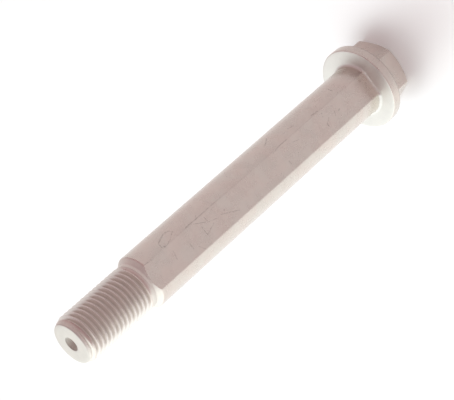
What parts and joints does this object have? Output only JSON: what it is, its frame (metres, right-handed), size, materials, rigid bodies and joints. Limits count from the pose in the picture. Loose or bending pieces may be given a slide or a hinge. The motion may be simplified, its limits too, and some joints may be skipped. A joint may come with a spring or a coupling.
{
  "type": "eccentric bolt",
  "caption": "Long cam bolt with a flanged hexagon head, a plain shank with a flat milled along it to key an eccentric washer, and a fine threaded end.",
  "frame": {"origin": "centre of the head's end face, on the bolt's axis: the bolt stands on its head", "axes": "+Z along the bolt's axis from the head to the threaded tip, +X the way the shank's flat faces"},
  "size_m": [0.0258, 0.0258, 0.131],
  "materials": {
    "steel": "phosphated steel, satin, with light handling scratches"
  },
  "bodies": {
    "root": {"eccentric_bolt": "steel"}
  },
  "joints": []
}
